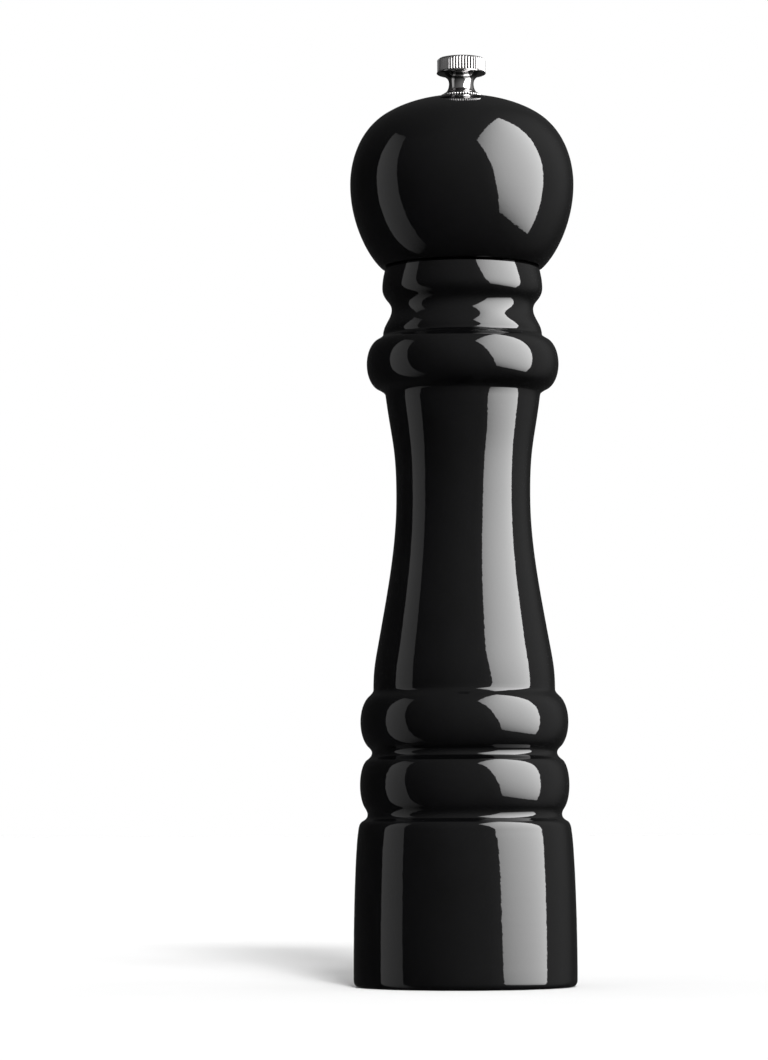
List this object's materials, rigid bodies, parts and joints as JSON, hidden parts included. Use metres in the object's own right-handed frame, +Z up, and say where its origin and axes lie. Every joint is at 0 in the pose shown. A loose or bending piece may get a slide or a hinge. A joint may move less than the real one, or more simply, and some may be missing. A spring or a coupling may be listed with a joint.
{
  "type": "pepper mill",
  "caption": "Turned gloss-black wooden pepper mill: domed turning head, knurled metal nut on top, square spindle and steel burrs under a pepper chamber.",
  "frame": {"origin": "centre of the foot, on the table", "axes": "+Z up along the turning axis, from the foot to the nut; the retaining bar runs along Y"},
  "size_m": [0.0724, 0.0724, 0.3],
  "materials": {
    "black_lacquer": "gloss black lacquer on turned wood",
    "polished_chrome": "polished chrome plate",
    "drawn_steel": "drawn bright steel",
    "pressed_steel": "pressed sheet steel, satin",
    "hardened_steel": "case-hardened dark steel",
    "zinc_plated": "bright zinc plate",
    "spring_steel": "spring wire"
  },
  "bodies": {
    "mill_body": {"mill_body": "black_lacquer", "burr_housing": "pressed_steel", "outer_burr": "hardened_steel", "upper_bridge": "pressed_steel", "bridge_rivet_1": "zinc_plated", "bridge_rivet_2": "zinc_plated", "retaining_bar": "pressed_steel", "bar_screw_1": "zinc_plated", "bar_screw_2": "zinc_plated"},
    "turning_set": {"spring_washer": "zinc_plated", "grinder_spring": "spring_steel"},
    "spindle": {"spindle": "drawn_steel", "inner_burr": "hardened_steel", "burr_washer": "zinc_plated", "burr_nut": "zinc_plated"},
    "head": {"head": "black_lacquer", "drive_plate": "pressed_steel", "drive_plate_screw_1": "zinc_plated", "drive_plate_screw_2": "zinc_plated", "drive_plate_screw_3": "zinc_plated"},
    "top_washer": {"top_washer": "polished_chrome"},
    "thumb_nut": {"thumb_nut": "polished_chrome"}
  },
  "joints": [
    {"name": "head_turn", "type": "hinge", "parent": "mill_body", "child": "turning_set", "pos_m": [0, 0, 0.044], "axis": [0, 0, 1], "continuous": true},
    {"name": "spindle_rise", "type": "slide", "parent": "turning_set", "child": "spindle", "axis": [0, 0, 1], "range_m": [0, 0.0014], "deforming": ["grinder_spring"]},
    {"name": "head_lift", "type": "slide", "parent": "turning_set", "child": "head", "axis": [0, 0, 1], "range_m": [0, 0.11]},
    {"name": "nut_lift", "type": "slide", "parent": "head", "child": "top_washer", "axis": [0, 0, 1], "range_m": [0, 0.03]},
    {"name": "nut_turn", "type": "hinge", "parent": "top_washer", "child": "thumb_nut", "pos_m": [0, 0, 0.2935], "axis": [0, 0, -1], "range_deg": [0, 630]}
  ],
  "couplings": [
    {"joint": "nut_turn", "follows": "spindle_rise", "rad_per_m": 7854}
  ]
}
